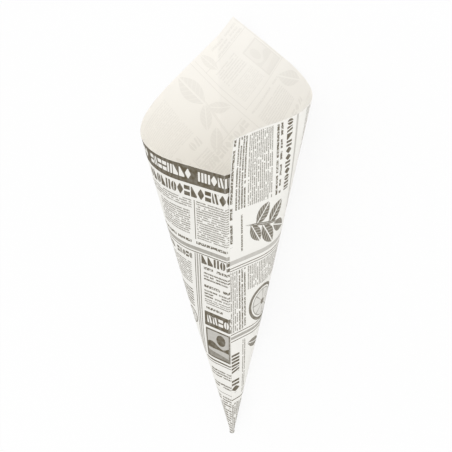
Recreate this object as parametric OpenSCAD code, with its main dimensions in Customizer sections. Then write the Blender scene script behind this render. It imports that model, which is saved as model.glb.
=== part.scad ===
// Pointed paper cone for fries, rolled from one right-angled sheet and glued along one edge.
// It lies on its side, as it comes to rest, with the tip towards -Y and the mouth towards +Y.
// Millimetres. The origin is under the middle of the cone, on the surface that it lies on.

/* [Sheet] */
// Long leg of the sheet, from the point of the cone along the glued edge
long_leg = 230; // [150:1:320]
// Short leg of the sheet, from the point along the edge that is glued under
short_leg = 207.5; // [130:0.5:300]
// Angle at the point of the sheet that shows once it is rolled
wrap_angle = 90; // [82:1:100]
// Width of the glued lap, measured at the end of the short leg
lap = 15; // [6:0.5:30]
// Thickness of the paper
paper = 0.12; // [0.08:0.01:0.6]

/* [Tip] */
// Distance from the ideal point at which the tip of the sheet is cut off blunt
tip_cut = 9.5; // [7:0.5:15]
// Depth of paper that is pinched together and closes the tip
tip_plug = 3; // [1:0.5:8]
// Distance by which the roll is drawn together at the tip
tip_draw = 6; // [0:0.5:8]
// Distance from the ideal point over which the roll is drawn together
tip_reach = 90; // [60:5:140]
// Distance from the ideal point at which an even roll is as narrow as the blunt tip
tip_round = 6.5; // [4:0.5:9]

/* [Folds] */
// Angle between the front fold and the walls beside it, from straight across
front_fold = 38; // [25:1:50]
// Angle between the back fold and the walls beside it, from straight across
back_fold = 21; // [10:1:30]
// Radius of the rounded sides at the length of the long leg from the point
side_radius = 61.18; // [42:0.02:68]
// Distance from the front fold to the glued edge, at the end of the long leg
fold_offset = 2.8; // [1:0.1:8]

/* [Free corner] */
// Length of the glued edge that is left loose at the mouth
loose_edge = 55; // [30:1:80]
// Width of the loose part, along the mouth
loose_rim = 40; // [20:1:60]
// Distance that the loose corner stands out from the cone
corner_lift = 5.5; // [0:0.5:12]

/* [Resting spot] */
// Direction that the resting spot faces, from straight back towards the right side
rest_angle = 43; // [38:1:48]
// Angle of the rounded side that is pressed flat
rest_flat = 16; // [8:1:20]

/* [Resolution] */
// Angle of the rounded side that one strip of the wall takes up
strip_angle = 4; // [2:0.5:10]
// Strips across the lap
lap_strips = 3; // [2:1:8]
// Strips across the loose corner, beside the lap
loose_strips = 4; // [2:1:10]
// Rows of the wall where it is drawn together
tip_rows = 5; // [3:1:10]
// Rows of the wall between the end of the glue and the mouth
loose_rows = 5; // [3:1:10]

/* [Hidden] */
paper_colour = "#f2efe6";
// Narrowest strip of the wall, in degrees
narrowest_strip = 0.01;
// Longest straight stretch beside the front fold, at a distance of 1 from the point
longest_wall = 1;
// Halvings of that length until the wall takes up the sheet's angle
fit_tries = 40;

function unit(v) = v / norm(v);
function total(v) = v * [for (x = v) 1];
function running(v, count) = count == 0 ? 0 : running(v, count - 1) + v[count - 1];
function sorted(v) =
    len(v) < 2 ? v : concat(
        sorted([for (x = v) if (x < v[0]) x]),
        [for (x = v) if (x == v[0]) x],
        sorted([for (x = v) if (x > v[0]) x]));

// Angles along the rounded side, between the walls beside the two folds
side_turn = 180 - front_fold - back_fold;
side_steps = ceil(side_turn / strip_angle);
side_angles = [for (k = [0:side_steps]) front_fold + side_turn * k / side_steps];
flat_from = 180 - rest_angle - rest_flat / 2;
flat_to = 180 - rest_angle + rest_flat / 2;
rest_side_angles = concat(
    [for (a = side_angles) if (a < flat_from) a],
    [flat_from, flat_to],
    [for (a = side_angles) if (a > flat_to) a]);

// Section of the cone at a distance of 1 from its point: straight beside each fold, round between.
// The front fold is at the start, and front_wall is the straight stretch beside it.
round_r = side_radius / long_leg;
function round_point(front_wall, a) = [
    front_wall * cos(front_fold) + round_r * (sin(a) - sin(front_fold)),
    front_wall * sin(front_fold) - round_r * (cos(a) - cos(front_fold))];
function back_point(front_wall) =
    let (last = round_point(front_wall, 180 - back_fold))
    [0, last.y + last.x * tan(back_fold)];
function section(front_wall) = concat(
    [[0, 0]],
    [for (a = rest_side_angles) round_point(front_wall, a)],
    [back_point(front_wall)],
    [for (k = [len(side_angles) - 1:-1:0]) let (q = round_point(front_wall, side_angles[k])) [-q.x, q.y]],
    [[0, 0]]);
function rays(front_wall) =
    let (middle = back_point(front_wall).y / 2)
    [for (q = section(front_wall)) unit([q.x, q.y - middle, 1])];
function turn_between(a, b) = atan2(norm(cross(a, b)), a * b);
function turns(dirs) = [for (k = [0:len(dirs) - 2]) turn_between(dirs[k], dirs[k + 1])];

// The straight stretch beside the front fold is as long as the sheet's angle needs
function fit_wall(low, high, tries) =
    let (mid = (low + high) / 2)
    tries == 0 ? mid :
    total(turns(rays(mid))) < wrap_angle ? fit_wall(mid, high, tries - 1) : fit_wall(low, mid, tries - 1);
loop = rays(fit_wall(0, longest_wall, fit_tries));
loop_turns = turns(loop);
loop_angles = [for (k = [0:len(loop_turns)]) running(loop_turns, k)];

// Angles on the flat sheet, from the glued edge, at which the wall changes direction or outline
fold_turn = atan(fold_offset / long_leg);
lap_angle = atan(lap / short_leg);
loose_angle = atan(loose_rim / long_leg);
corner_angle = atan2(short_leg, long_leg);
lap_edges = [for (k = [0:lap_strips]) lap_angle * k / lap_strips];
loose_edges = [for (k = [1:loose_strips]) lap_angle + (loose_angle - lap_angle) * k / loose_strips];
wall_edges = [
    for (a = loop_angles)
        let (b = a - fold_turn)
        if (b > loose_angle && b < wrap_angle - narrowest_strip) b];
wrap_edges = sorted(concat(lap_edges, loose_edges, wall_edges, [corner_angle]));
edges = concat(wrap_edges, [for (a = lap_edges) wrap_angle + a]);
wrap_count = len(wrap_edges);
last_edge = len(edges) - 1;

// Direction of the straight line up the wall at an angle on the sheet
function ray_at(angle) =
    let (
        a = (angle + fold_turn) % wrap_angle,
        k = max([for (j = [0:len(loop_turns) - 1]) if (loop_angles[j] <= a) j]),
        part = a - loop_angles[k],
        whole = loop_turns[k])
    (loop[k] * sin(whole - part) + loop[k + 1] * sin(part)) / sin(whole);
wrap_rays = [for (k = [0:wrap_count - 1]) ray_at(edges[k])];
strip_facings = [for (k = [0:wrap_count - 1]) unit(cross(wrap_rays[(k + 1) % wrap_count], wrap_rays[k]))];
wrap_facings = [
    for (k = [0:wrap_count - 1])
        let (before = strip_facings[(k + wrap_count - 1) % wrap_count], after = strip_facings[k])
        (before + after) / (1 + before * after)];

// Rows up the wall: from the blunt tip to an even roll, the end of the glue, then evenly up to the mouth
glue_row = tip_rows + 1;
last_row = glue_row + loose_rows;
glue_end = long_leg - loose_edge;
function mouth(angle) =
    angle <= corner_angle ? long_leg / cos(angle) : short_leg / sin(min(angle, 90 + lap_angle));
function row_distance(angle, row, tip) =
    row == 0 ? tip :
    row < glue_row ? tip_cut + (tip_reach - tip_cut) * row / tip_rows :
    glue_end + (mouth(angle) - glue_end) * (row - glue_row) / loose_rows;

// The roll is tighter towards the tip, as narrow as an even roll would be nearer to the point
function drawn(distance) =
    let (short = max(0, 1 - pow(distance / tip_reach, 2)))
    max(tip_round, distance - tip_draw * short);
function up_wall(ray, distance) = [ray.x * drawn(distance), ray.y * drawn(distance), ray.z * distance];

// Each turn of the sheet lies inside the turn before it, by the paper's thickness
function inset(angle) = paper * (1 - angle / wrap_angle);
function lift(angle, distance) =
    let (
        up = max(0, distance - glue_end) / loose_edge,
        across = max(0, 1 - angle / loose_angle))
    corner_lift * pow(up * across, 2);
function wall_point(edge, row, tip, side) =
    let (
        angle = edges[edge],
        k = edge % wrap_count,
        distance = row_distance(angle, row, tip))
    up_wall(wrap_rays[k], distance) + wrap_facings[k] * (inset(angle) + side * paper + lift(angle, distance));
tip_inside = tip_cut + tip_plug;
outside_points = [
    for (edge = [0:last_edge], row = [0:last_row])
        wall_point(edge, row, edge <= wrap_count ? tip_cut : tip_inside, 1)];
inside_points = [for (edge = [0:last_edge], row = [0:last_row]) wall_point(edge, row, tip_inside, 0)];
axis_points = [[0, 0, tip_cut], [0, 0, tip_inside]];
upright_points = concat(outside_points, inside_points, axis_points);

// The cone turned on its side, so that the resting spot lies on the surface
spot = 1 + len([for (a = rest_side_angles) if (a < flat_from) a]);
up_axis = unit(cross(loop[spot], loop[spot + 1]));
mouth_axis = unit(loop[spot] + loop[spot + 1]);
side_axis = cross(mouth_axis, up_axis);
turned_points = [for (q = upright_points) [q * side_axis, q * mouth_axis, q * up_axis]];
function lowest(axis) = min([for (q = turned_points) q[axis]]);
function highest(axis) = max([for (q = turned_points) q[axis]]);
under_middle = [(lowest(0) + highest(0)) / 2, (lowest(1) + highest(1)) / 2, lowest(2)];
cone_points = [for (q = turned_points) q - under_middle];

// Corners of the wall by number. Under the glue the two layers of the lap share one set of corners.
rows = last_row + 1;
lap_end = lap_strips;
function outside(edge, row) = edge * rows + row;
function inside(edge, row) =
    edge <= lap_end && row <= glue_row ? outside(edge + wrap_count, row) : (last_edge + 1 + edge) * rows + row;
tip_centre = 2 * (last_edge + 1) * rows;
plug_centre = tip_centre + 1;
function quad(a, b, c, d) = [[a, b, c], [a, c, d]];
function joined(lists) = [for (l = lists) for (x = l) x];
outside_faces = joined([
    for (e = [0:last_edge - 1], r = [0:last_row - 1])
        if (e < wrap_count || r >= glue_row)
            quad(outside(e, r), outside(e, r + 1), outside(e + 1, r + 1), outside(e + 1, r))]);
inside_faces = joined([
    for (e = [0:last_edge - 1], r = [0:last_row - 1])
        if (e >= lap_end || r >= glue_row)
            quad(inside(e, r), inside(e + 1, r), inside(e + 1, r + 1), inside(e, r + 1))]);
mouth_faces = joined([
    for (e = [0:last_edge - 1])
        quad(outside(e, last_row), inside(e, last_row), inside(e + 1, last_row), outside(e + 1, last_row))]);
glued_edge_faces = joined([
    for (r = [0:last_row - 1]) quad(outside(0, r), inside(0, r), inside(0, r + 1), outside(0, r + 1))]);
hidden_edge_faces = joined([
    for (r = [0:last_row - 1])
        quad(outside(last_edge, r), outside(last_edge, r + 1), inside(last_edge, r + 1), inside(last_edge, r))]);
tip_faces = concat(
    [for (e = [0:wrap_count - 1]) [tip_centre, outside(e, 0), outside(e + 1, 0)]],
    [[tip_centre, outside(wrap_count, 0), outside(0, 0)]]);
plug_faces = concat(
    [for (e = [lap_end:last_edge - 1]) [plug_centre, inside(e + 1, 0), inside(e, 0)]],
    [[plug_centre, inside(lap_end, 0), inside(last_edge, 0)]]);

module paper_cone() {
    color(paper_colour)
        polyhedron(
            points = cone_points,
            faces = concat(outside_faces, inside_faces, mouth_faces, glued_edge_faces,
                hidden_edge_faces, tip_faces, plug_faces));
}

paper_cone();
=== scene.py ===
import functools
import itertools
import math
import operator

import bmesh
import bpy
from bpy.props import FloatProperty, FloatVectorProperty, IntProperty, PointerProperty
from mathutils import Matrix, Vector


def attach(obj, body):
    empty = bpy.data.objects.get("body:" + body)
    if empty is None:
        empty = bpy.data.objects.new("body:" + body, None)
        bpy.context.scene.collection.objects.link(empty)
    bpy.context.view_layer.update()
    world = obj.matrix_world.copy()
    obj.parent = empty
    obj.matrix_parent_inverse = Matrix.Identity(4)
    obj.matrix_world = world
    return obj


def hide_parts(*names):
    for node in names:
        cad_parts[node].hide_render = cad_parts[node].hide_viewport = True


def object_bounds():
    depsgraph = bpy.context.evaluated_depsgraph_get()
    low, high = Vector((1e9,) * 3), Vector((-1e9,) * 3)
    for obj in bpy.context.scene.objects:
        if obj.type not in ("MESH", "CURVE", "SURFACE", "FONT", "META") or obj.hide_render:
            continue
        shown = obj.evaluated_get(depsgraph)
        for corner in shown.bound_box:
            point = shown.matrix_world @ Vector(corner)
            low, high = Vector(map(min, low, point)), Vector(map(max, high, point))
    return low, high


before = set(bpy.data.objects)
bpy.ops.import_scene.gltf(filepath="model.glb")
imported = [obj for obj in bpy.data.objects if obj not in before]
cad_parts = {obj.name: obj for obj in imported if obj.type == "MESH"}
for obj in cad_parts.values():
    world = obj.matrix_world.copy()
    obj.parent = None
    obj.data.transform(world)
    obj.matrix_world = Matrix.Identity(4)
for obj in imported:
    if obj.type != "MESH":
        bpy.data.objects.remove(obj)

bl_info = {
    "name": "Paper fry cone",
    "version": (1, 0, 0),
    "blender": (4, 5, 0),
    "location": "View3D > Sidebar > Fry cone",
    "description": "Rolls a printed sheet into a pointed paper cone and sets a plain stage round it",
    "category": "Object",
}

NODE = "paper_cone"
BODY = "root"
CAD_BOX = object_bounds()
MILLIMETRES_PER_METRE = 1000


# Properties that a user would change

class SheetSizes(bpy.types.PropertyGroup):
    """Sizes of the flat sheet and of the cone that it is rolled into."""

    long_leg: FloatProperty(
        name="Long leg", description="From the point along the glued edge",
        default=0.230, unit="LENGTH")
    short_leg: FloatProperty(
        name="Short leg", description="From the point along the hidden edge",
        default=0.2075, unit="LENGTH")
    wrap_angle: FloatProperty(
        name="Wrap angle", description="Angle of the sheet that shows",
        default=math.radians(90), subtype="ANGLE")
    lap: FloatProperty(
        name="Lap", description="Width of the glued lap at the mouth",
        default=0.015, unit="LENGTH")
    paper: FloatProperty(
        name="Paper", description="Thickness of the paper",
        default=0.00012, precision=5, unit="LENGTH")
    tip_cut: FloatProperty(
        name="Tip cut", description="Distance from the point at which the tip is blunt",
        default=0.0095, unit="LENGTH")
    tip_draw: FloatProperty(
        name="Tip draw", description="How far the roll is drawn together at the tip",
        default=0.006, unit="LENGTH")
    tip_reach: FloatProperty(
        name="Tip reach", description="Distance from the point over which it is drawn together",
        default=0.090, unit="LENGTH")
    tip_round: FloatProperty(
        name="Tip round", description="Distance at which an even roll is as narrow as the blunt tip",
        default=0.0065, unit="LENGTH")
    front_fold: FloatProperty(
        name="Front fold", description="Slope of the walls beside the front fold",
        default=math.radians(38), subtype="ANGLE")
    back_fold: FloatProperty(
        name="Back fold", description="Slope of the walls beside the back fold",
        default=math.radians(21), subtype="ANGLE")
    side_radius: FloatProperty(
        name="Side radius", description="Radius of the rounded sides at the end of the long leg",
        default=0.06118, unit="LENGTH")
    fold_offset: FloatProperty(
        name="Fold offset", description="From the front fold to the glued edge",
        default=0.0028, unit="LENGTH")
    loose_edge: FloatProperty(
        name="Loose edge", description="Length of the glued edge that is loose",
        default=0.055, unit="LENGTH")
    loose_rim: FloatProperty(
        name="Loose rim", description="Width of the loose corner at the mouth",
        default=0.040, unit="LENGTH")
    corner_lift: FloatProperty(
        name="Corner lift", description="How far the loose corner stands out",
        default=0.0055, unit="LENGTH")
    rest_angle: FloatProperty(
        name="Resting spot", description="Direction that the resting spot faces, from straight back",
        default=math.radians(43), subtype="ANGLE")
    rest_flat: FloatProperty(
        name="Flat", description="Angle of the rounded side that is pressed flat",
        default=math.radians(16), subtype="ANGLE")
    column_angle: FloatProperty(
        name="Column", description="Widest column of the rolled mesh",
        default=math.radians(0.55), subtype="ANGLE")
    rows: IntProperty(
        name="Rows", description="Rows of the rolled mesh",
        default=96)


class PaperLooks(bpy.types.PropertyGroup):
    """Colours of the paper and its print."""

    paper: FloatVectorProperty(
        name="Paper", description="Outside of the paper",
        default=(0.905, 0.892, 0.848), size=3, subtype="COLOR")
    lining: FloatVectorProperty(
        name="Lining", description="Inside of the paper",
        default=(0.936, 0.911, 0.858), size=3, subtype="COLOR")
    ink: FloatVectorProperty(
        name="Ink", description="Ink of the print",
        default=(0.112, 0.090, 0.052), size=3, subtype="COLOR")
    show_through: FloatProperty(
        name="Show-through", description="Share of the print that is seen from inside",
        default=0.092)


class StageSettings(bpy.types.PropertyGroup):
    """Camera and floor."""

    camera_place: FloatVectorProperty(
        name="Camera", description="Place of the camera",
        default=(0.3045, -0.00772, 0.38122), size=3, subtype="TRANSLATION")
    camera_target: FloatVectorProperty(
        name="Target", description="Point that the camera and the lamps look at",
        default=(0.00703, -0.00535, 0.04377), size=3, subtype="TRANSLATION")
    camera_top: FloatVectorProperty(
        name="Top", description="Direction that is up in the picture",
        default=(-0.0829, 0.9933, 0.08), size=3, subtype="DIRECTION")
    lens: FloatProperty(
        name="Lens", description="Focal length in millimetres",
        default=54.85)
    floor: FloatVectorProperty(
        name="Floor", description="Colour of the floor",
        default=(0.93, 0.93, 0.93), size=3, subtype="COLOR")


# Rolling the sheet

def between(a, b):
    """Angle between two directions, exact for small ones."""
    return math.atan2(a.cross(b).length, a.dot(b))


class RolledSheet:
    """Where each point of the flat sheet lies once the sheet is rolled into the cone."""

    SECTION_STEP = math.radians(1.0)
    FIT_TRIES = 40
    OUTLINE_STEPS = 360

    # Ripple of the loose paper: its height, its waves round the cone and up it, and the angles over
    # which it fades out beside the resting spot and the lap
    RIPPLE_HEIGHT = 0.0005
    RIPPLE_ROUND = 11.0
    RIPPLE_UP = 14.0
    SPOT_FADE = 0.25
    LAP_FADE = 0.3

    def __init__(self, sizes):
        self.sizes = sizes
        self.fold_turn = math.atan(sizes.fold_offset / sizes.long_leg)
        self.lap_angle = math.atan(sizes.lap / sizes.short_leg)
        self.corner_angle = math.atan2(sizes.short_leg, sizes.long_leg)
        self.loose_angle = math.atan(sizes.loose_rim / sizes.long_leg)
        self.glue_end = sizes.long_leg - sizes.loose_edge
        self.loop = self.rays(self.fit_wall())
        self.turns = [between(a, b) for a, b in itertools.pairwise(self.loop)]
        self.starts = list(itertools.accumulate(self.turns, initial=0.0))
        right = self.side_angles(True)
        spot = 1 + sum(slope < self.flat_from() for slope in right)
        self.spot_ends = [self.starts[spot] - self.fold_turn, self.starts[spot + 1] - self.fold_turn]
        self.back_angle = self.starts[len(right) + 1] - self.fold_turn
        self.front_angle = sizes.wrap_angle - self.fold_turn
        up = self.loop[spot].cross(self.loop[spot + 1]).normalized()
        along = (self.loop[spot] + self.loop[spot + 1]).normalized()
        self.lying = Matrix((along.cross(up), along, up))
        self.shift = Vector((0, 0, 0))
        self.shift = self.fit_box()

    def flat_from(self):
        """Slope of the rounded side at which its flat starts."""
        return math.pi - self.sizes.rest_angle - self.sizes.rest_flat / 2

    def side_angles(self, pressed):
        """Slopes of the rounded side, from the front wall to the back wall."""
        s = self.sizes
        turn = math.pi - s.front_fold - s.back_fold
        count = math.ceil(turn / self.SECTION_STEP)
        slopes = [s.front_fold + turn * k / count for k in range(count + 1)]
        if not pressed:
            return slopes
        low = self.flat_from()
        high = low + s.rest_flat
        return [a for a in slopes if a < low] + [low, high] + [a for a in slopes if a > high]

    def rays(self, wall):
        """Directions up the wall, once round the cone from the front fold."""
        s = self.sizes
        radius = s.side_radius / s.long_leg

        def round_point(slope):
            x = wall * math.cos(s.front_fold) + radius * (math.sin(slope) - math.sin(s.front_fold))
            y = wall * math.sin(s.front_fold) - radius * (math.cos(slope) - math.cos(s.front_fold))
            return x, y

        right = [round_point(a) for a in self.side_angles(True)]
        left = [(-x, y) for x, y in map(round_point, reversed(self.side_angles(False)))]
        back = (0.0, right[-1][1] + right[-1][0] * math.tan(s.back_fold))
        section = [(0.0, 0.0), *right, back, *left, (0.0, 0.0)]
        return [Vector((x, y - back[1] / 2, 1.0)).normalized() for x, y in section]

    def fit_wall(self):
        """Straight stretch beside the front fold that takes up the whole sheet."""
        low, high = 0.0, 1.0
        for _ in range(self.FIT_TRIES):
            wall = (low + high) / 2
            taken = sum(between(a, b) for a, b in itertools.pairwise(self.rays(wall)))
            low, high = (wall, high) if taken < self.sizes.wrap_angle else (low, wall)
        return wall

    @functools.cache
    def ray(self, angle):
        """Direction up the wall, and the way the wall faces, at an angle on the sheet."""
        a = (angle + self.fold_turn) % self.sizes.wrap_angle
        k = max(j for j, start in enumerate(self.starts[:-1]) if start <= a)
        part, whole = a - self.starts[k], self.turns[k]
        here = self.loop[k] * math.sin(whole - part) + self.loop[k + 1] * math.sin(part)
        return here / math.sin(whole), self.loop[k + 1].cross(self.loop[k]).normalized()

    def mouth(self, angle):
        """Distance from the point to the mouth."""
        if angle <= self.corner_angle:
            return self.sizes.long_leg / math.cos(angle)
        return self.sizes.short_leg / math.sin(angle)

    def stand_off(self, angle, distance):
        """How far the outside of the sheet stands off the ideal cone."""
        s = self.sizes
        up = max(0.0, distance - self.glue_end) / s.loose_edge
        across = max(0.0, 1 - angle / self.loose_angle)
        return s.paper * (2 - angle / s.wrap_angle) + s.corner_lift * (up * across) ** 2

    def drawn(self, distance):
        """Distance at which an even roll is as narrow as this one is here."""
        s = self.sizes
        short = max(0.0, 1 - (distance / s.tip_reach) ** 2)
        return max(s.tip_round, distance - s.tip_draw * short)

    def ripple(self, angle, distance):
        """Slight wave of the loose paper towards the mouth, none where it rests or is glued."""
        reach = (distance / self.sizes.long_leg) ** 2
        spot = sum(self.spot_ends) / 2
        calm = min(1.0, abs(angle - spot) / self.SPOT_FADE)
        calm *= min(1.0, max(0.0, angle - self.lap_angle) / self.LAP_FADE)
        calm *= min(1.0, max(0.0, self.front_angle - angle) / self.LAP_FADE)
        wave = math.sin(angle * self.RIPPLE_ROUND + distance * self.RIPPLE_UP)
        return self.RIPPLE_HEIGHT * reach * calm * wave

    def place(self, angle, distance, extra=0.0):
        """Place of a point of the sheet's outside on the lying cone."""
        ray, facing = self.ray(angle)
        narrow = self.drawn(distance)
        wall = Vector((ray.x * narrow, ray.y * narrow, ray.z * distance))
        return self.lying @ (wall + facing * (self.stand_off(angle, distance) + extra)) + self.shift

    def tip(self):
        """Middle of the blunt tip on the lying cone."""
        return self.lying @ Vector((0, 0, self.sizes.tip_cut)) + self.shift

    def fit_box(self):
        """Shift that brings the rolled outline to the CAD cone's box."""
        angles = [self.sizes.wrap_angle * k / self.OUTLINE_STEPS for k in range(self.OUTLINE_STEPS + 1)]
        angles += [self.corner_angle, *self.spot_ends]
        outline = [self.place(a, d) for a in angles for d in (self.sizes.tip_cut, self.mouth(a))]
        low = Vector(map(min, zip(*outline)))
        high = Vector(map(max, zip(*outline)))
        shift = (CAD_BOX[0] + CAD_BOX[1] - low - high) / 2
        shift.z = CAD_BOX[0].z - low.z
        return shift


def column_angles(roll):
    """Angles of the mesh's columns: at every fold, edge and corner, and evenly between them."""
    s = roll.sizes
    crisp, soft = math.radians(0.1), math.radians(0.3)
    breaks = sorted([
        0.0, roll.loose_angle, *roll.spot_ends, roll.corner_angle,
        roll.back_angle - soft, roll.back_angle, roll.back_angle + soft,
        roll.front_angle - crisp, roll.front_angle, roll.front_angle + crisp,
        s.wrap_angle, s.wrap_angle + roll.lap_angle])
    angles = [breaks[0]]
    for start, end in itertools.pairwise(breaks):
        count = max(1, math.ceil((end - start) / s.column_angle))
        angles += [start + (end - start) * k / count for k in range(1, count + 1)]
    return angles


# Nodes

class Value:
    """A number in a shader: sums and comparisons on it add Math nodes."""

    def __init__(self, tree, socket):
        self.tree = tree
        self.socket = socket

    def math(self, operation, *others):
        inputs = dict(enumerate((self, *others)))
        node = add_node(self.tree, "ShaderNodeMath", {"operation": operation}, inputs)
        return Value(self.tree, node.outputs[0])

    def __add__(self, other):
        return self.math("ADD", other)

    __radd__ = __add__

    def __sub__(self, other):
        return self.math("SUBTRACT", other)

    def __rsub__(self, other):
        return self.math("MULTIPLY_ADD", -1.0, other)

    def __mul__(self, other):
        return self.math("MULTIPLY", other)

    __rmul__ = __mul__

    def __truediv__(self, other):
        return self.math("DIVIDE", other)

    def __lt__(self, other):
        return self.math("LESS_THAN", other)

    def __gt__(self, other):
        return self.math("GREATER_THAN", other)

    def __or__(self, other):
        return self.math("MAXIMUM", other)

    def __abs__(self):
        return self.math("ABSOLUTE")

    def __floor__(self):
        return self.math("FLOOR")

    def within(self, low, high):
        """1 from one number to another, 0 outside them."""
        return self.math("COMPARE", (low + high) / 2, (high - low) / 2)


def add_node(tree, kind, settings=(), inputs=()):
    """One node of a tree, with its settings made first and then its sockets filled or linked."""
    node = tree.nodes.new(kind)
    for name, value in dict(settings).items():
        setattr(node, name, value)
    for key, value in dict(inputs).items():
        if isinstance(value, Value):
            value = value.socket
        if isinstance(value, bpy.types.NodeSocket):
            tree.links.new(value, node.inputs[key])
        else:
            node.inputs[key].default_value = value
    return node


def noise(tree, x, y, scale, detail=0.0):
    """Smooth noise on two numbers, from 0 to 1."""
    vector = add_node(tree, "ShaderNodeCombineXYZ", inputs={0: x, 1: y}).outputs[0]
    inputs = {"Vector": vector, "Scale": scale, "Detail": detail}
    return Value(tree, add_node(tree, "ShaderNodeTexNoise", {"noise_dimensions": "2D"}, inputs).outputs[0])


def chance(tree, number):
    """A fixed random value for each whole number."""
    node = add_node(tree, "ShaderNodeTexWhiteNoise", {"noise_dimensions": "1D"}, {"W": number + 0.5})
    return Value(tree, node.outputs["Value"])


def mix_colour(tree, share, first, second):
    """Colour socket between two colours."""
    inputs = {0: share, 6: colour(first), 7: colour(second)}
    return add_node(tree, "ShaderNodeMix", {"data_type": "RGBA"}, inputs).outputs[2]


def colour(value):
    """A colour with its alpha, or a socket as it is."""
    return value if isinstance(value, bpy.types.NodeSocket) else (*value, 1.0)


# Print: a page of made-up columns. Blocks are in millimetres: left, bottom, right, top.
# The page's left edge is the mouth's right-hand half, and its lower edge is the glued one.

# Side of the square that the page is laid out on, in metres
PAGE = 0.25

# Dark fields that hold a row of pale shapes
BANDS = [(140, 196, 246, 208), (209.5, 96.4, 246, 107.6), (52, 101, 98, 108)]
# Rows of heavy shapes that head the columns
HEADS = [
    (146, 199.2, 245, 205.2), (155, 187.6, 245, 194.2), (211.5, 99.2, 245, 104.8),
    (208.5, 143.0, 245, 149.0), (170, 143.6, 201, 147.6), (0.5, 45.8, 47, 51.5), (152, 0.3, 185, 7.1),
    (86, 161, 146, 168), (54, 103, 96, 106), (52, 143, 98, 149), (104, 128, 148, 134),
    (2, 110, 46, 116), (104, 92, 148, 97), (150, 128, 164, 132), (150, 92, 166, 96), (70, 62, 134, 68),
]
# Bold lines
BOLD = [
    (163, 155.1, 246, 158.4), (0.5, 0, 71, 3.3), (1, 36.3, 47, 42.9), (210, 138.6, 246, 141.9),
    (210, 125.4, 246, 128.7), (211, 108.9, 244, 112.2), (13, 145.2, 45, 148.5), (54, 92.4, 96, 99),
    (148, 148.5, 164, 151.8), (104, 118.8, 148, 125.4), (3, 194.7, 30, 204.6),
]
# Columns of small lines
SMALL = [
    (210, 131.15, 246, 137.6), (210, 118.25, 246, 124.7), (174, 105.35, 200, 120.4),
    (214, 47.3, 240, 51.6), (212, 55.9, 238, 62.35), (0.5, 4.3, 47, 12.9), (51, 7, 76, 12),
    (88.5, 6.45, 134, 12.9), (86, 128, 100, 158), (16, 120, 44, 142), (2, 80, 46, 107),
    (152, 134, 166, 146), (52, 74, 98, 89), (104, 70, 148, 90), (20, 174, 41, 190),
    (150, 74, 196, 86), (143, 30, 190, 46), (208, 15.05, 246, 40.85), (222, 8.6, 246, 15.05),
    (194, 0, 221.5, 15.05),
]
# Columns of fine lines
FINE = [
    (157, 179.8, 202.5, 186.4), (172, 160, 201, 178.25), (206, 159.5, 246, 186.4), (172, 123.5, 200, 142),
    (1, 13.9, 47, 34.4), (88.5, 0, 134, 6.2), (88.5, 13.95, 106, 52), (106, 43, 134, 60), (0, 69, 60, 78),
    (86, 170, 146, 204), (104, 136, 146, 158), (52, 110, 98, 140), (104, 100, 148, 118),
    (152, 98, 168, 126), (150, 50, 204, 70), (19, 156, 42, 172), (143, 9.3, 188, 12.4),
    (210, 113.15, 246, 117.8),
]
# Kinds of lines: their blocks, pitch, level of noise below which a gap is left, and ink
LINES = [(FINE, 1.55, 0.29, 0.84), (SMALL, 2.15, 0.24, 1.0), (BOLD, 3.3, 0.33, 1.0)]
# Single rules
RULES = [
    (165, 149.4, 246, 150.0), (190.4, 0, 191.2, 22), (208, 66.6, 246, 67.2), (208, 68.4, 246, 69.6),
    (1, 152, 46, 152.6), (1, 194, 46, 194.6), (45.4, 152, 46, 206), (0.5, 152, 1.1, 206),
    (49.2, 78, 49.8, 208), (100.8, 78, 101.4, 158), (149, 46, 149.6, 158), (52, 150.6, 148, 151.2),
    (52, 70.6, 148, 71.2), (204.4, 159, 205, 186), (208, 43, 246, 43.4), (203.3, 70, 203.9, 149),
    (207.0, 70, 207.6, 149), (85.2, 0, 85.8, 60), (87.0, 0, 87.5, 60), (135.0, 0, 135.6, 48),
    (140.6, 0, 141.2, 48),
]
# Grey bars, and paler ones
BARS = [(163, 151.0, 246, 153.6), (104, 66, 148, 68), (204.8, 70, 206.0, 149), (137.0, 0, 139.2, 48)]
PALE_BARS = [(0, 55.4, 64, 57.8), (80.2, 0, 83.2, 60)]
BAR_INK = 0.62
PALE_BAR_INK = 0.42
# Framed pictures of a tree on a hill
PICTURES = [(210, 71.2, 229.5, 94.6), (1.8, 153.4, 16.4, 183), (54, 118, 74, 138)]
# Leaves of two sprigs, and single ones: centre, half length, half width, tilt
LEAVES = [
    (70.0, 43.0, 7.8, 4.4, 1.15), (58.5, 38.0, 9.5, 4.9, 2.35), (71.0, 31.0, 9.5, 5.0, 0.55),
    (55.5, 26.5, 8.4, 4.4, 2.45), (67.0, 20.5, 7.8, 4.0, 0.50), (63.0, 28.0, 17.0, 1.0, 1.35),
    (64.0, 193.0, 13.5, 8.0, 1.55), (70.5, 172.0, 10.0, 4.6, 2.30), (57.5, 170.0, 9.5, 4.4, 0.80),
    (77.0, 155.0, 10.0, 5.0, 2.40), (65.0, 165.0, 21.0, 1.0, 1.75),
    (38.0, 198.0, 8.6, 4.0, 1.45), (8.0, 136.0, 12.0, 5.5, 1.2), (150.5, 21.0, 7.5, 3.6, 1.25),
]
LEAF_INK = 0.92
# Spoked wheels: centre and radius
WHEELS = [(121.5, 28.5, 13.5), (126.0, 80.0, 8.0), (196.0, 97.0, 6.2)]
WHEEL_INK = 0.9

# Cells of heavy shapes: how far their numbers move on from row to row, a cell's width as a share of its
# row's height, and its span where a shape goes from -1 to 1
ROW_CELLS = 20
CELL_WIDTH = 0.80
CELL_SPAN = 2.38
# Where each kind of heavy shape ends on the scale of chance, with a gap as the first kind
KIND_ENDS = [0.12, 0.28, 0.50, 0.64, 0.80, 0.92, 1.0]


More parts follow.
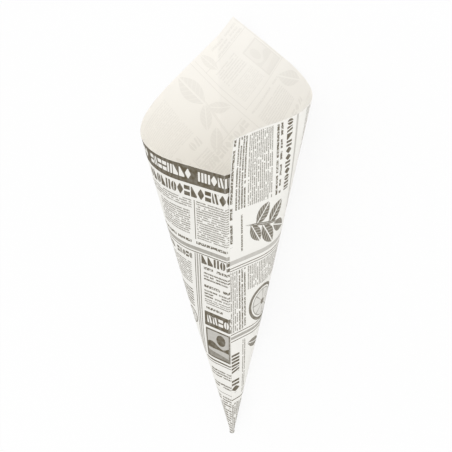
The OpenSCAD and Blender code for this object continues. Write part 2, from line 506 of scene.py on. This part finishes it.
def covers(x, y, block):
    """1 on a block of the page, 0 elsewhere."""
    left, bottom, right, top = block
    return x.within(left, right) * y.within(bottom, top)


def total(values):
    """Sum of several values."""
    return functools.reduce(operator.add, values)


def all_of(x, y, blocks):
    """1 on any of several blocks that lie clear of each other."""
    return total(covers(x, y, block) for block in blocks)


def in_blocks(x, y, blocks, step):
    """Whether a block is here, the steps across it, with numbers of its own, and the share up it."""
    masks, steps, heights = [], [], []
    for number, block in enumerate(blocks):
        left, bottom, _, top = block
        mask = covers(x, y, block)
        wide, tall = step(block), top - bottom
        masks.append(mask)
        steps.append(mask * x.math("MULTIPLY_ADD", 1 / wide, number * ROW_CELLS - left / wide))
        heights.append(mask * y.math("MULTIPLY_ADD", 1 / tall, -bottom / tall))
    return total(masks), total(steps), total(heights)


def whole_lines(blocks, pitch):
    """Blocks cut down to whole lines, with a little slack for those that nearly fit."""
    slack = 0.2
    return [
        (left, math.ceil(bottom / pitch - slack) * pitch, right, math.floor(top / pitch + slack) * pitch)
        for left, bottom, right, top in blocks]


def marked_lines(tree, x, y, pitch, gap):
    """Lines of small marks, in groups with gaps between them."""
    foot, head = 0.20, 0.76
    row_shift = 40
    group_scale, group_row = 0.62, 7.3
    mark_scale, mark_row, mark_lean = 3.0, 3.1, 0.8
    mark_level, faint = 0.44, 0.32
    row = math.floor(y / pitch)
    height = y / pitch - row
    along = x / pitch + row_shift * chance(tree, row)
    groups = noise(tree, along, row * group_row, group_scale) > gap
    marks = noise(tree, along, row * mark_row + height * mark_lean, mark_scale) > mark_level
    return height.within(foot, head) * groups * (faint + (1 - faint) * marks)


def heavy_shapes(tree, x, y):
    """Rows of heavy plain shapes, each cell with a shape of its own or a gap."""
    twin_slot, disc_slot, stack_slot = 0.24, 0.14, 0.20
    wedge_reach, diamond_reach = 0.4, 1.15
    slant_across, slant_up, slant_width = 0.85, 0.3, 0.6
    mask, steps, height = in_blocks(x, y, HEADS, lambda block: CELL_WIDTH * (block[3] - block[1]))
    cell = math.floor(steps)
    across = (steps - cell) * CELL_SPAN - 1
    up = height * 2 - 1
    twin_bars = abs(across) > twin_slot
    split_disc = (across * across + up * up < 1) * (abs(across) > disc_slot)
    wedge = across + up < wedge_reach
    stack = abs(up) > stack_slot
    diamond = abs(across) + abs(up) < diamond_reach
    slanted_bars = (across * slant_across + up * slant_up).math("FRACT") < slant_width
    shapes = [twin_bars, split_disc, wedge, stack, diamond, slanted_bars]
    kind = chance(tree, cell)
    chosen = total(kind.within(*ends) * shape for ends, shape in zip(itertools.pairwise(KIND_ENDS), shapes))
    return mask * (across < 1) * chosen


def pictures(x, y):
    """Small framed pictures of a round tree, a hill and a bank, with sizes as shares of the picture."""
    side_line, end_line = 0.44, 0.45
    tree_across, tree_up, tree_radius_squared = 0.62, 0.70, 0.035
    hill_foot, hill_top, hill_swell, hill_waves = 0.34, 0.5, 0.09, 7.0
    bank_top, bank_slope, bank_ink = 0.26, 0.12, 0.8
    sky_ink = 0.46
    mask, across, height = in_blocks(x, y, PICTURES, lambda block: block[2] - block[0])
    across = across.math("FRACT")
    frame_line = (abs(across - 0.5) > side_line) | (abs(height - 0.5) > end_line)
    dx, dy = across - tree_across, height - tree_up
    tree_top = dx * dx + dy * dy < tree_radius_squared
    hill = (height < hill_top + hill_swell * (across * hill_waves).math("SINE")) * (height > hill_foot)
    bank = (height < bank_top - bank_slope * across) * bank_ink
    return mask * (frame_line | tree_top | hill | bank | sky_ink)


def leaf(x, y, block):
    """A pointed leaf with a bare middle rib and paler side ribs, with sizes as shares of its own."""
    middle_rib, rib_count, rib_lean = 0.09, 3.4, 1.3
    rib_width, rib_fade = 0.25, 0.4
    cx, cy, long, wide, tilt = block
    c, s = math.cos(tilt), math.sin(tilt)
    along = x * (c / long) + y.math("MULTIPLY_ADD", s / long, -(cx * c + cy * s) / long)
    off = abs(y * (c / wide) + x.math("MULTIPLY_ADD", -s / wide, (cx * s - cy * c) / wide))
    side_rib = (along * rib_count - off * rib_lean).math("FRACT") < rib_width
    return (off < 1 - along * along) * (off > middle_rib) * (1 - side_rib * rib_fade)


def wheel(x, y, block):
    """A spoked wheel with a heavy rim, with sizes as shares of its radius."""
    hub, disc, rim_start = 0.16, 0.72, 0.84
    ring_start, ring_end, ring_ink = 0.71, 0.76, 0.8
    spoke_pairs, spoke_width, spoke_ink = 4.0, 0.22, 0.7
    disc_ink = 0.2
    cx, cy, radius = block
    dx, dy = x - cx, y - cy
    out = (dx * dx + dy * dy).math("SQRT") / radius
    inside = out < disc
    rim = out.within(rim_start, 1.0) | (out.within(ring_start, ring_end) * ring_ink)
    spokes = (abs((dy.math("ARCTAN2", dx) * spoke_pairs).math("SINE")) < spoke_width) * inside
    return rim | (spokes * spoke_ink) | (out < hub) | (inside * disc_ink)


def page_ink(tree, x, y):
    """Share of ink at each point of the page, from 0 to 1."""
    prints = [
        marked_lines(tree, x, y, pitch, gap) * all_of(x, y, whole_lines(blocks, pitch)) * ink
        for blocks, pitch, gap, ink in LINES]
    prints.append(abs(all_of(x, y, BANDS) - heavy_shapes(tree, x, y)))
    prints.append(all_of(x, y, RULES))
    prints.append(all_of(x, y, BARS) * BAR_INK)
    prints.append(all_of(x, y, PALE_BARS) * PALE_BAR_INK)
    prints.append(pictures(x, y))
    prints += [leaf(x, y, block) * LEAF_INK for block in LEAVES]
    prints += [wheel(x, y, block) * WHEEL_INK for block in WHEELS]
    return functools.reduce(operator.or_, prints)


def newsprint_group(fold_angle, corner):
    """Node group that holds the page: its ink, its fibres and its slow unevenness."""
    fleck_share, strand_share, strand_stretch = 0.55, 0.45, 0.35
    wear_width, wear_share = 0.9, 0.4
    thin_ink, ink_range = 0.80, 0.34
    tree = bpy.data.node_groups.new("newsprint", "ShaderNodeTree")
    for name in ("Ink", "Fibres", "Cloud"):
        tree.interface.new_socket(name, in_out="OUTPUT", socket_type="NodeSocketFloat")
    place = add_node(tree, "ShaderNodeUVMap", {"uv_map": "sheet"}).outputs[0]
    parts = add_node(tree, "ShaderNodeSeparateXYZ", inputs={0: place})
    page_size = PAGE * MILLIMETRES_PER_METRE
    x = Value(tree, parts.outputs[0]) * page_size
    y = Value(tree, parts.outputs[1]) * page_size
    flecks = noise(tree, x, y, scale=0.9, detail=5.0)
    strands = noise(tree, x * strand_stretch, y, scale=2.6, detail=2.0)
    fibres = flecks * fleck_share + strands * strand_share
    cloud = noise(tree, x, y, scale=0.03, detail=2.0)
    from_fold = abs((corner * MILLIMETRES_PER_METRE - x) * math.sin(fold_angle) - y * math.cos(fold_angle))
    worn = ((1 - from_fold / wear_width) | 0.0) * noise(tree, x, y, scale=0.8, detail=2.0)
    mottle = thin_ink + ink_range * noise(tree, x, y, scale=0.35, detail=3.0)
    ink = page_ink(tree, x, y) * mottle * (1 - wear_share * worn)
    add_node(tree, "NodeGroupOutput", inputs={"Ink": ink, "Fibres": fibres, "Cloud": cloud})
    return tree


def paper_material(name, group, sheet_colour, ink_colour, ink_share):
    """Matt bag paper with fibres, and a share of the page's ink."""
    deepest, fibre_tint, cloud_tint = 0.955, 0.6, 0.5
    smoothest, rough_range = 0.66, 0.16
    fibre_relief, cloud_relief = 0.05, 0.5
    material = bpy.data.materials.new(name)
    material.use_nodes = True
    tree = material.node_tree
    shader = tree.nodes["Principled BSDF"]
    page = add_node(tree, "ShaderNodeGroup", {"node_tree": group})
    ink, fibres, cloud = (Value(tree, socket) for socket in page.outputs)
    deeper = [channel * deepest for channel in sheet_colour]
    tint = mix_colour(tree, (fibres - 0.5) * fibre_tint + cloud * cloud_tint, sheet_colour, deeper)
    base = mix_colour(tree, ink * ink_share, tint, ink_colour)
    tree.links.new(base, shader.inputs["Base Color"])
    tree.links.new((smoothest + rough_range * fibres).socket, shader.inputs["Roughness"])
    bump = add_node(tree, "ShaderNodeBump", inputs={
        "Strength": 0.5, "Distance": 0.001, "Height": fibres * fibre_relief + cloud * cloud_relief})
    tree.links.new(bump.outputs[0], shader.inputs["Normal"])
    shader.inputs["Specular IOR Level"].default_value = 0.3
    return material


# Operators

class PAPERCONE_OT_roll_sheet(bpy.types.Operator):
    """Roll the printed sheet into the cone."""

    bl_idname = "paper_cone.roll_sheet"
    bl_label = "Roll the printed sheet"

    # Shares of the print that show on the outside and on the cut edge, of the tip's distance that its
    # tucked end has on the page, and of the paper's thickness that is built, to part the lap's two layers
    PRINT_SHARE = 0.97
    EDGE_SHARE = 0.05
    TUCK_SHARE = 0.4
    LAYER_SHARE = 0.9

    def execute(self, context):
        sizes = context.scene.paper_cone_sizes
        looks = context.scene.paper_cone_looks
        roll = RolledSheet(sizes)
        mesh = self.rolled_mesh(roll)
        page = newsprint_group(roll.front_angle, sizes.long_leg)
        for name, tone, share in (
            ("printed_outside", looks.paper, self.PRINT_SHARE),
            ("plain_inside", looks.lining, looks.show_through),
            ("cut_edge", looks.paper, self.EDGE_SHARE),
        ):
            mesh.materials.append(paper_material(name, page, tone, looks.ink, share))
        piece = bpy.data.objects.new("paper_cone_sheet", mesh)
        context.scene.collection.objects.link(piece)
        wall = piece.modifiers.new("Paper", "SOLIDIFY")
        wall.thickness = sizes.paper * self.LAYER_SHARE
        wall.offset = -1.0
        wall.material_offset = 1
        wall.material_offset_rim = 2
        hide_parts(NODE)
        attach(piece, BODY)
        return {"FINISHED"}

    def rolled_mesh(self, roll):
        """The sheet's outside: a grid on the page, rolled up, with its first row tucked in at the tip."""
        sizes = roll.sizes
        angles = column_angles(roll)
        columns, rows = len(angles) - 1, sizes.rows
        bm = bmesh.new()
        bmesh.ops.create_grid(bm, x_segments=columns, y_segments=rows, size=0.5)
        sheet_uv = bm.loops.layers.uv.new("sheet")
        flat = {}
        for vert in bm.verts:
            angle = angles[round((vert.co.x + 0.5) * columns)]
            row = round((vert.co.y + 0.5) * rows)
            share = max(0, row - 1) / (rows - 1)
            distance = sizes.tip_cut + (roll.mouth(angle) - sizes.tip_cut) * share
            tucked = row == 0
            flat[vert] = (angle, distance, tucked)
        for face in bm.faces:
            face.smooth = True
            for loop in face.loops:
                angle, distance, tucked = flat[loop.vert]
                reach = distance * (self.TUCK_SHARE if tucked else 1.0)
                page_x = sizes.long_leg - reach * math.cos(angle)
                loop[sheet_uv].uv = (page_x / PAGE, reach * math.sin(angle) / PAGE)
        tip = roll.tip()
        for vert, (angle, distance, tucked) in flat.items():
            vert.co = tip if tucked else roll.place(angle, distance, roll.ripple(angle, distance))
        tucked_row = [vert for vert, (_, _, tucked) in flat.items() if tucked]
        merge_distance = sizes.paper / 100
        bmesh.ops.remove_doubles(bm, verts=tucked_row, dist=merge_distance)
        for edge in bm.edges:
            edge.smooth = not edge.is_boundary
        mesh = bpy.data.meshes.new("paper_cone_sheet")
        bm.to_mesh(mesh)
        bm.free()
        return mesh


class PAPERCONE_OT_set_stage(bpy.types.Operator):
    """Set the floor, the lamps and the camera."""

    bl_idname = "paper_cone.set_stage"
    bl_label = "Set the stage"

    FLOOR_SIZE = 6.0
    FLOOR_ROUGHNESS = 0.9
    # Share of plain white in the floor as it is seen; the rest keeps the shadow
    FLOOR_WHITE = 0.9
    SKY_STRENGTH = 0.86
    LAMP_SIZE = 0.7
    # Place and power of each lamp
    LAMPS = {
        "side": ((0.85, 0.05, 0.22), 1.2),
        "front": ((0.03, 0.85, 0.20), 2.3),
        "top": ((-0.45, -0.45, 0.60), 0.85),
    }
    SENSOR_WIDTH = 36.0
    NEAREST = 0.01

    def execute(self, context):
        scene = context.scene
        stage = scene.paper_cone_stage
        self.make_floor(scene, stage)
        self.make_lamps(scene, stage)
        self.make_camera(scene, stage)
        scene.view_settings.view_transform = "Standard"
        return {"FINISHED"}

    def make_floor(self, scene, stage):
        bm = bmesh.new()
        bmesh.ops.create_grid(bm, x_segments=1, y_segments=1, size=self.FLOOR_SIZE)
        mesh = bpy.data.meshes.new("floor")
        bm.to_mesh(mesh)
        bm.free()
        mesh.materials.append(self.floor_material(stage))
        floor = bpy.data.objects.new("floor", mesh)
        scene.collection.objects.link(floor)

    def floor_material(self, stage):
        """Pale floor that the camera, glossy and clear surfaces see as nearly white."""
        material = bpy.data.materials.new("pale_floor")
        material.use_nodes = True
        tree = material.node_tree
        shader = tree.nodes["Principled BSDF"]
        shader.inputs["Base Color"].default_value = (*stage.floor, 1.0)
        shader.inputs["Roughness"].default_value = self.FLOOR_ROUGHNESS
        shader.inputs["Specular IOR Level"].default_value = 0.0
        path = add_node(tree, "ShaderNodeLightPath")
        kinds = ("Is Camera Ray", "Is Glossy Ray", "Is Transmission Ray")
        seen = functools.reduce(operator.or_, (Value(tree, path.outputs[kind]) for kind in kinds))
        white = add_node(tree, "ShaderNodeEmission", inputs={"Color": (1, 1, 1, 1), "Strength": 1.0})
        mixed = add_node(tree, "ShaderNodeMixShader", inputs={
            0: seen * self.FLOOR_WHITE, 1: shader.outputs[0], 2: white.outputs[0]})
        tree.links.new(mixed.outputs[0], tree.nodes["Material Output"].inputs["Surface"])
        return material

    def make_lamps(self, scene, stage):
        world = bpy.data.worlds.new("studio")
        scene.world = world
        world.use_nodes = True
        background = world.node_tree.nodes["Background"]
        background.inputs["Color"].default_value = (1.0, 1.0, 1.0, 1.0)
        background.inputs["Strength"].default_value = self.SKY_STRENGTH
        target = Vector(stage.camera_target)
        for name, (place, power) in self.LAMPS.items():
            lamp = bpy.data.lights.new(name, "AREA")
            lamp.shape = "DISK"
            lamp.size = self.LAMP_SIZE
            lamp.energy = power
            holder = bpy.data.objects.new(name, lamp)
            holder.location = place
            holder.rotation_euler = (target - Vector(place)).to_track_quat("-Z", "Y").to_euler()
            scene.collection.objects.link(holder)

    def make_camera(self, scene, stage):
        data = bpy.data.cameras.new("camera")
        data.lens = stage.lens
        data.sensor_width = self.SENSOR_WIDTH
        data.clip_start = self.NEAREST
        place, target = Vector(stage.camera_place), Vector(stage.camera_target)
        forward = (target - place).normalized()
        right = forward.cross(Vector(stage.camera_top)).normalized()
        turned = Matrix((right, right.cross(forward), -forward)).transposed()
        camera = bpy.data.objects.new("camera", data)
        camera.matrix_world = Matrix.Translation(place) @ turned.to_4x4()
        scene.collection.objects.link(camera)
        scene.camera = camera


class PAPERCONE_PT_sidebar(bpy.types.Panel):
    """Fry cone tools."""

    bl_idname = "PAPERCONE_PT_sidebar"
    bl_label = "Fry cone"
    bl_space_type = "VIEW_3D"
    bl_region_type = "UI"
    bl_category = "Fry cone"

    def draw(self, context):
        for tool in OPERATORS:
            self.layout.operator(tool.bl_idname)
        for name, group in GROUPS.items():
            for value in group.__annotations__:
                self.layout.prop(getattr(context.scene, name), value)


GROUPS = {
    "paper_cone_sizes": SheetSizes,
    "paper_cone_looks": PaperLooks,
    "paper_cone_stage": StageSettings,
}
OPERATORS = (PAPERCONE_OT_roll_sheet, PAPERCONE_OT_set_stage)
CLASSES = (*GROUPS.values(), *OPERATORS, PAPERCONE_PT_sidebar)


def register():
    for cls in CLASSES:
        bpy.utils.register_class(cls)
    for name, group in GROUPS.items():
        setattr(bpy.types.Scene, name, PointerProperty(type=group))


def unregister():
    for name in GROUPS:
        delattr(bpy.types.Scene, name)
    for cls in reversed(CLASSES):
        bpy.utils.unregister_class(cls)


def main():
    register()
    bpy.ops.paper_cone.set_stage()
    bpy.ops.paper_cone.roll_sheet()


if __name__ == "__main__":
    main()
